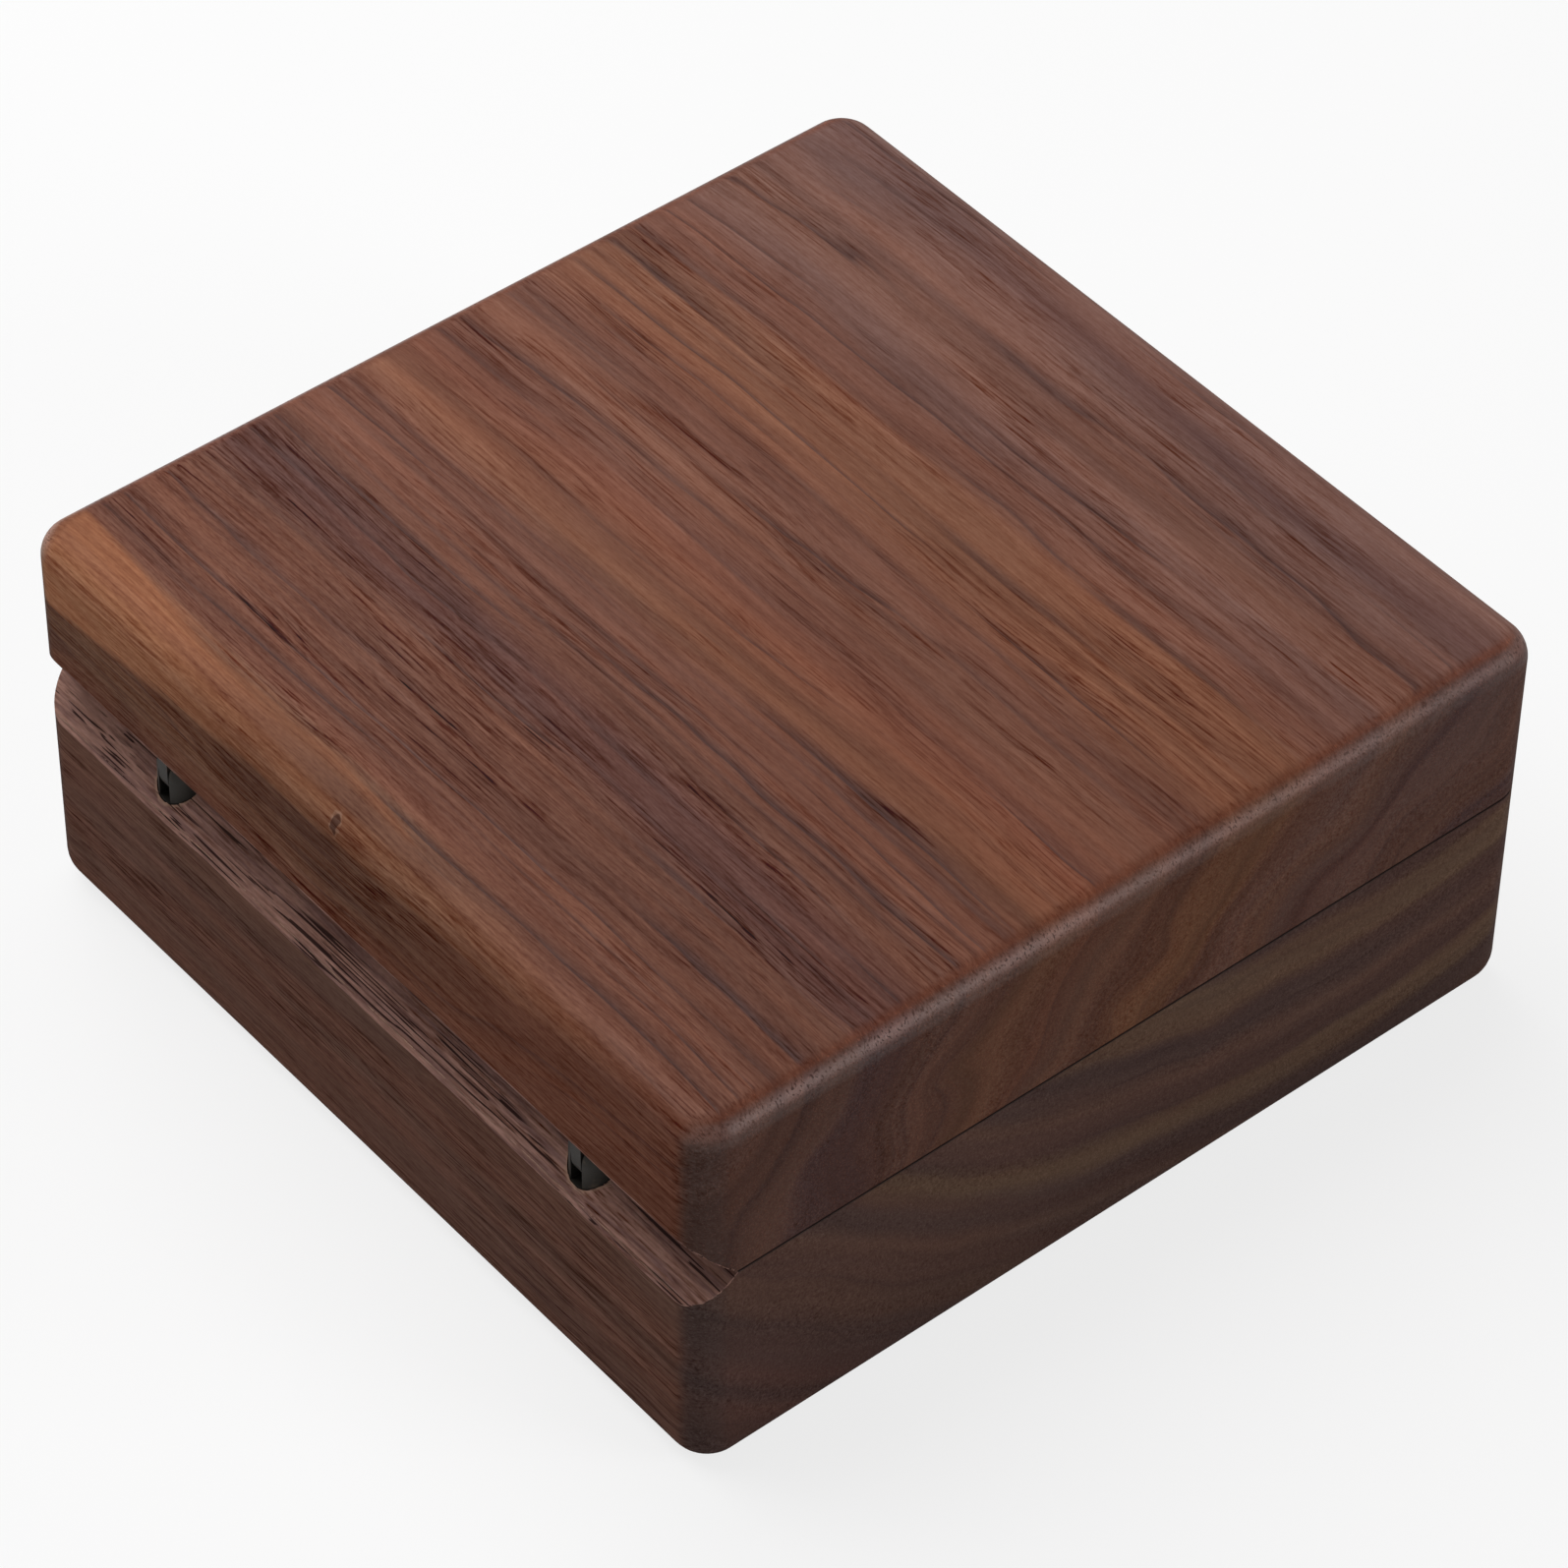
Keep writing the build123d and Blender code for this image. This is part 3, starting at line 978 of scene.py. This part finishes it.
def fork_barrel(name, hinge, x):
    """A base barrel: its round head is slotted into two cheeks for the pin."""
    dome = [(BARREL_RADIUS * cosine, BARREL_RADIUS * sine) for sine, cosine in quarter_arc(DOME_STEPS)]
    dome[-1] = (0, BARREL_RADIUS)
    fork = turned_solid(name, barrel_profile(hinge, dome))
    half = hinge.tongue / 2 + hinge.tongue_play
    far, floor = 2 * BARREL_RADIUS, -hinge.shoulder
    slot = prism("slot", ((-far, floor), (far, floor), (far, far), (-far, far)), -half, half)
    cut(fork, [slot, cross_bar("bore", PIN_RADIUS + PIN_FIT, 2 * far)])
    break_edges(fork, hinge.edge)
    return moved(fork, Matrix.Translation((x, AXIS.y, AXIS.z)))


def tongue_barrel(name, hinge, x):
    """A lid barrel: a flat tongue with a round end reaches down onto the pin."""
    flat_end = [(BARREL_RADIUS, -hinge.shoulder), (0, -hinge.shoulder)]
    body = turned_solid(name, barrel_profile(hinge, flat_end))
    moved(body, Matrix.Rotation(math.pi, 4, "X"))
    root = hinge.shoulder + TONGUE_ROOT
    outline = [(TONGUE_REACH, root)]
    for step in range(TONGUE_STEPS + 1):
        angle = math.radians(-180 * step / TONGUE_STEPS)
        outline.append((TONGUE_REACH * math.cos(angle), TONGUE_REACH * math.sin(angle)))
    outline.append((-TONGUE_REACH, root))
    cut(body, [prism("tongue", outline, -hinge.tongue / 2, hinge.tongue / 2)], "UNION")
    cut(body, [cross_bar("bore", PIN_RADIUS + hinge.pin_play, 4 * BARREL_RADIUS)])
    break_edges(body, hinge.edge)
    return moved(body, Matrix.Translation((x, AXIS.y, AXIS.z)))


def node_centre(node):
    """The middle of a CAD node's box."""
    low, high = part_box(node)
    return (low + high) / 2


def geometry_tree(name, inputs):
    """A Geometry Nodes tree with named inputs, the bench that fills it, and its input signals."""
    tree = bpy.data.node_groups.new(name, "GeometryNodeTree")
    bench = Bench(tree)
    tree.interface.new_socket("Geometry", in_out="INPUT", socket_type="NodeSocketGeometry")
    tree.interface.new_socket("Geometry", in_out="OUTPUT", socket_type="NodeSocketGeometry")
    for label, kind in inputs:
        tree.interface.new_socket(label, in_out="INPUT", socket_type=kind)
    labels = ["Geometry", *[label for label, _ in inputs]]
    return tree, bench, dict(zip(labels, bench.node("NodeGroupInput", output=labels)))


def run_tree(piece, tree, values):
    """Puts a tree on a piece, sets its inputs by identifier and keeps the mesh that it makes."""
    modifier = piece.modifiers.new(tree.name, "NODES")
    modifier.node_group = tree
    for item in tree.interface.items_tree:
        if item.in_out == "INPUT" and item.name in values:
            modifier[item.identifier] = values[item.name]
    bpy.context.view_layer.update()
    return settle(piece)


FIBRE_INPUTS = (
    ("Count", "NodeSocketInt"),
    ("Length", "NodeSocketFloat"),
    ("Width", "NodeSocketFloat"),
    ("Lift", "NodeSocketFloat"),
    ("Seed", "NodeSocketInt"),
    ("Material", "NodeSocketMaterial"),
)

# How far a sliver turns about its own line and away from it, in radians
MOST_TILT = (3.1, 0.012, 0.012)


def torn_fibre_tree():
    """Scatters tapered slivers along a curve, each pointing along it with its tip lifted."""
    tree, bench, given = geometry_tree("Torn fibres", FIBRE_INPUTS)

    def random(low, high, shift, kind="FLOAT"):
        """One random number, or three of kind FLOAT_VECTOR, between two limits."""
        first, output = {"FLOAT": (2, 1), "FLOAT_VECTOR": (0, 0)}[kind]
        sockets = {first: low, first + 1: high, "Seed": given["Seed"] + shift}
        return bench.node("FunctionNodeRandomValue", {"data_type": kind}, sockets, output)

    middle = bench.join(given["Length"] * 0.5, 0.0, 0.0)
    tip = bench.join(given["Length"], 0.0, given["Lift"])
    sockets = {"Resolution": 5, "Start": (0, 0, 0), "Middle": middle, "End": tip}
    spine = bench.node("GeometryNodeCurveQuadraticBezier", None, sockets)
    share = bench.node("GeometryNodeSplineParameter")
    taper = (1.02 - share * share) * given["Width"] * 0.5
    section = bench.node("GeometryNodeCurvePrimitiveCircle", None, {"Resolution": 4, "Radius": 1.0})
    sockets = {"Curve": spine, "Profile Curve": section, "Scale": taper, "Fill Caps": True}
    sliver = bench.node("GeometryNodeCurveToMesh", None, sockets)

    points = bench.node("GeometryNodePoints", None, {"Count": given["Count"]})
    sockets = {"Curves": given["Geometry"], "Factor": random(0.0, 1.0, 1)}
    settings = {"mode": "FACTOR", "use_all_curves": True}
    position, tangent = bench.node(
        "GeometryNodeSampleCurve", settings, sockets, ("Position", "Tangent"))
    points = bench.node("GeometryNodeSetPosition", None, {"Geometry": points, "Position": position})
    turned = bench.node("FunctionNodeAlignRotationToVector", {"axis": "X"}, {"Vector": tangent})
    tilt = random([-part for part in MOST_TILT], MOST_TILT, 2, "FLOAT_VECTOR")
    tilt = bench.node("FunctionNodeEulerToRotation", None, {0: tilt})
    sockets = {"Rotation": turned, "Rotate By": tilt}
    turned = bench.node("FunctionNodeRotateRotation", {"rotation_space": "LOCAL"}, sockets)
    long = random(0.12, 1.0, 3)
    thick = random(0.3, 1.0, 4)
    scale = bench.join(long * long, thick, thick)
    sockets = {"Points": points, "Instance": sliver, "Rotation": turned, "Scale": scale}
    placed = bench.node("GeometryNodeInstanceOnPoints", None, sockets)
    finish_tree(bench, placed, given["Material"])
    return tree


def finish_tree(bench, placed, material):
    """Realizes the instances, sets the material and ends the tree."""
    real = bench.node("GeometryNodeRealizeInstances", None, {"Geometry": placed})
    done = bench.node("GeometryNodeSetMaterial", None, {"Geometry": real, "Material": material})
    bench.node("NodeGroupOutput", None, {"Geometry": done})


def curve_through(name, splines):
    """A curve object of open splines with straight parts."""
    data = bpy.data.curves.new(name, "CURVE")
    data.dimensions = "3D"
    for points in splines:
        spline = data.splines.new("POLY")
        spline.points.add(len(points) - 1)
        for point, place in zip(spline.points, points):
            point.co = (*place, 1)
    return add_object(name, data)


# How far inside the edges of the groove face the wood tears, and the steps of a hole rim's path
TORN_INSET = 0.35 * MM
RIM_STEPS = 20


def groove_paths(sizes):
    """The edges of the base's groove face where the cutter tears the wood, and its hole rims."""
    half = HIGH.x - sizes.corner_radius
    outer = (HIGH.y - TORN_INSET, AXIS.z - sizes.groove + TORN_INSET)
    inner = (HIGH.y - sizes.groove + TORN_INSET, AXIS.z - TORN_INSET)
    splines = [[(-half, y, z), (half, y, z)] for y, z in (outer, outer, inner)]
    radius = BARREL_RADIUS + sizes.hole_play
    for _, side in SIDES:
        rim = []
        for step in range(RIM_STEPS + 1):
            angle = math.radians(180 * step / RIM_STEPS)
            y = AXIS.y + radius * math.sin(angle)
            depth = y - (HIGH.y - sizes.groove)
            rim.append((side * HINGE_X + radius * math.cos(angle), y, AXIS.z - depth))
        splines.append(rim)
    return splines


class WALNUTBOX_OT_base(bpy.types.Operator):
    """Carve the lower half of the box"""

    bl_idname = "walnut_box.base"
    bl_label = "Base"

    def execute(self, context):
        sizes = context.scene.walnut_box_sizes
        tones = context.scene.walnut_box_tones
        floor = LOW.z + sizes.floor
        half = carve_half("base_half", sizes, BASE_HIGH.z, LOW.z, sizes.bottom_radius, floor)
        dress(half, walnut(BASE_FIGURE, tones, sizes), "base", ["base_box"])
        return {"FINISHED"}


class WALNUTBOX_OT_lid(bpy.types.Operator):
    """Carve the upper half of the box"""

    bl_idname = "walnut_box.lid"
    bl_label = "Lid"

    def execute(self, context):
        sizes = context.scene.walnut_box_sizes
        tones = context.scene.walnut_box_tones
        roof = HIGH.z - sizes.roof
        half = carve_half("lid_half", sizes, LID_LOW.z, HIGH.z, sizes.top_radius, roof)
        dress(half, walnut(LID_FIGURE, tones, sizes), "lid", ["lid"])
        return {"FINISHED"}


class WALNUTBOX_OT_hinges(bpy.types.Operator):
    """Turn the barrels and pins of both hinges"""

    bl_idname = "walnut_box.hinges"
    bl_label = "Hinges"

    def execute(self, context):
        hinge = context.scene.walnut_box_hinges
        tones = context.scene.walnut_box_tones
        metal = dark_barrel_metal(tones)
        steel = drawn_steel(tones)
        for side, sign in SIDES:
            fork = fork_barrel(f"{side}_fork_barrel", hinge, sign * HINGE_X)
            dress(fork, metal, "base", [f"{side}_hinge_base_barrel"])
            tongue = tongue_barrel(f"{side}_tongue_barrel", hinge, sign * HINGE_X)
            dress(tongue, metal, "lid", [f"{side}_hinge_lid_barrel"])
            pin = cross_bar(f"{side}_cross_pin", PIN_RADIUS, PIN_HIGH.x - PIN_LOW.x, PIN_CHAMFER)
            moved(pin, Matrix.Translation(node_centre(f"{side}_hinge_pin")))
            break_edges(pin, PIN_EDGE)
            dress(pin, steel, "base", [f"{side}_hinge_pin"])
        return {"FINISHED"}


class WALNUTBOX_OT_magnets(bpy.types.Operator):
    """Make the four plated disc magnets"""

    bl_idname = "walnut_box.magnets"
    bl_label = "Magnets"

    def execute(self, context):
        edge = context.scene.walnut_box_hinges.magnet_edge
        plating = nickel_plate(context.scene.walnut_box_tones)
        half = (MAGNET_HIGH.z - MAGNET_LOW.z) / 2
        profile = [(0, half)]
        for sine, cosine in quarter_arc(5):
            profile.append((MAGNET_RADIUS - edge + edge * sine, half - edge + edge * cosine))
        profile += [(radius, -height) for radius, height in reversed(profile)]
        for side, _ in SIDES:
            for body in ("base", "lid"):
                disc = turned_solid(f"{side}_{body}_disc", profile)
                break_edges(disc, MAGNET_EDGE)
                moved(disc, Matrix.Translation(node_centre(f"{side}_{body}_magnet")))
                dress(disc, plating, body, [f"{side}_{body}_magnet"])
        return {"FINISHED"}


class WALNUTBOX_OT_fibres(bpy.types.Operator):
    """Raise torn fibres along the groove and around the hinge holes"""

    bl_idname = "walnut_box.fibres"
    bl_label = "Torn fibres"

    def execute(self, context):
        sizes = context.scene.walnut_box_sizes
        torn = context.scene.walnut_box_fibres
        material = pulled_fibre()
        values = {label: getattr(torn, label.lower()) for label, _ in FIBRE_INPUTS[:-1]}
        values["Material"] = material
        fibres = run_tree(curve_through("torn_fibres", groove_paths(sizes)), torn_fibre_tree(), values)
        dress(fibres, material, "base")
        return {"FINISHED"}


def softbox(name, place, target, width, power):
    """A square lamp that faces a point."""
    lamp = bpy.data.lights.new(name, "AREA")
    lamp.shape = "SQUARE"
    lamp.size = width
    lamp.energy = power
    holder = add_object(name, lamp)
    holder.location = place
    holder.rotation_euler = (Vector(target) - Vector(place)).to_track_quat("-Z", "Y").to_euler()


def seen_rays(bench):
    """1 for what the camera sees, straight, mirrored or through glass."""
    rays = ("Is Camera Ray", "Is Glossy Ray", "Is Transmission Ray")
    straight, mirrored, through = bench.node("ShaderNodeLightPath", output=rays)
    return (straight + mirrored + through).least(1.0)


# How much of what the camera sees of the floor is its own even light
FLOOR_GLOW = 0.78


def pale_floor():
    """A matt floor that the camera sees near white, with the box's shadow on it."""
    material, bench = new_material("Pale floor")
    place = bench.node("ShaderNodeTexCoord", output="Object")
    mottle = bench.noise(bench.split(place), (0.05, 0.05, 0.05), 71, detail=3.0)
    colour = bench.mix(mottle, FLOOR_DARK, FLOOR_LIGHT)
    matt = bench.node("ShaderNodeBsdfDiffuse", None, {"Color": colour})
    glow = bench.node("ShaderNodeEmission", None, {"Color": (1, 1, 1, 1), "Strength": 1.0})
    share = seen_rays(bench) * FLOOR_GLOW
    surface = bench.node("ShaderNodeMixShader", None, {0: share, 1: matt, 2: glow})
    bench.node("ShaderNodeOutputMaterial", None, {"Surface": surface})
    return material


def studio_sky(level):
    """Even soft light, brighter near the horizon where it is seen."""
    world = bpy.data.worlds.new("Studio")
    world.use_nodes = True
    bench = Bench(world.node_tree)
    _, _, height = bench.split(bench.node("ShaderNodeTexCoord", output="Generated"))
    seen = seen_rays(bench)
    strength = seen * height.ramp(0.45, 0.80, 0.95, 0.20) + (1.0 - seen) * level
    sky = bench.node("ShaderNodeBackground", None, {"Color": (1, 1, 1, 1), "Strength": strength})
    bench.node("ShaderNodeOutputWorld", None, {"Surface": sky})
    bpy.context.scene.world = world


# Where the two softboxes stand, and how wide they are, in metres
KEY_PLACE, KEY_WIDTH = (0.34, 0.06, 0.62), 0.7
SIDE_PLACE, SIDE_WIDTH = (-0.77, -0.46, 0.40), 0.4
# Between the floor and the underside of the box
FLOOR_GAP = 0.02 * MM
# The camera: focal length and place in millimetres, turn in degrees
CAMERA_LENS = 155.59
CAMERA_PLACE = (-347.96, 293.24, 473.29)
CAMERA_TURN = (45.0047, -0.5959, -129.6078)


class WALNUTBOX_OT_stage(bpy.types.Operator):
    """Set the floor, the studio light and the camera"""

    bl_idname = "walnut_box.stage"
    bl_label = "Stage"

    def execute(self, context):
        light = context.scene.walnut_box_light
        made = bmesh.new()
        bmesh.ops.create_grid(made, x_segments=8, y_segments=8, size=4.0)
        floor = link_mesh("floor", made)
        moved(floor, Matrix.Translation((0, 0, LOW.z - FLOOR_GAP)))
        floor.data.materials.append(pale_floor())
        studio_sky(light.sky)
        middle = (0, 0, HIGH.z / 2)
        softbox("key softbox", KEY_PLACE, middle, KEY_WIDTH, light.key)
        softbox("side softbox", SIDE_PLACE, middle, SIDE_WIDTH, light.side)

        camera = bpy.data.cameras.new("camera")
        camera.lens = CAMERA_LENS
        camera.sensor_width = 36.0
        camera.clip_start = 0.01
        holder = add_object("camera", camera)
        holder.location = [place * MM for place in CAMERA_PLACE]
        holder.rotation_euler = Euler([math.radians(turn) for turn in CAMERA_TURN])
        context.scene.camera = holder
        context.scene.view_settings.view_transform = "Standard"
        return {"FINISHED"}


OPERATORS = (
    WALNUTBOX_OT_base,
    WALNUTBOX_OT_lid,
    WALNUTBOX_OT_hinges,
    WALNUTBOX_OT_magnets,
    WALNUTBOX_OT_fibres,
    WALNUTBOX_OT_stage,
)
SETTINGS = (
    ("walnut_box_sizes", BoxSizes),
    ("walnut_box_hinges", HingeSizes),
    ("walnut_box_tones", SurfaceTones),
    ("walnut_box_fibres", TornFibres),
    ("walnut_box_light", StageLight),
)


class WALNUTBOX_PT_panel(bpy.types.Panel):
    """Lists the pieces of the box and their settings"""

    bl_label = "Walnut Box"
    bl_idname = "WALNUTBOX_PT_panel"
    bl_space_type = "VIEW_3D"
    bl_region_type = "UI"
    bl_category = "Walnut Box"

    def draw(self, context):
        column = self.layout.column()
        for operator in OPERATORS:
            column.operator(operator.bl_idname)
        for name, group in SETTINGS:
            box = self.layout.box()
            box.label(text=group.__doc__)
            for label in group.__annotations__:
                box.prop(getattr(context.scene, name), label)


def register():
    for _, group in SETTINGS:
        bpy.utils.register_class(group)
    for name, group in SETTINGS:
        setattr(bpy.types.Scene, name, PointerProperty(type=group))
    for operator in OPERATORS:
        bpy.utils.register_class(operator)
    bpy.utils.register_class(WALNUTBOX_PT_panel)


def unregister():
    bpy.utils.unregister_class(WALNUTBOX_PT_panel)
    for operator in reversed(OPERATORS):
        bpy.utils.unregister_class(operator)
    for name, group in SETTINGS:
        delattr(bpy.types.Scene, name)
        bpy.utils.unregister_class(group)


def main():
    """Makes every piece and the stage."""
    register()
    for operator in OPERATORS:
        module, name = operator.bl_idname.split(".")
        getattr(getattr(bpy.ops, module), name)()


if __name__ == "__main__":
    main()
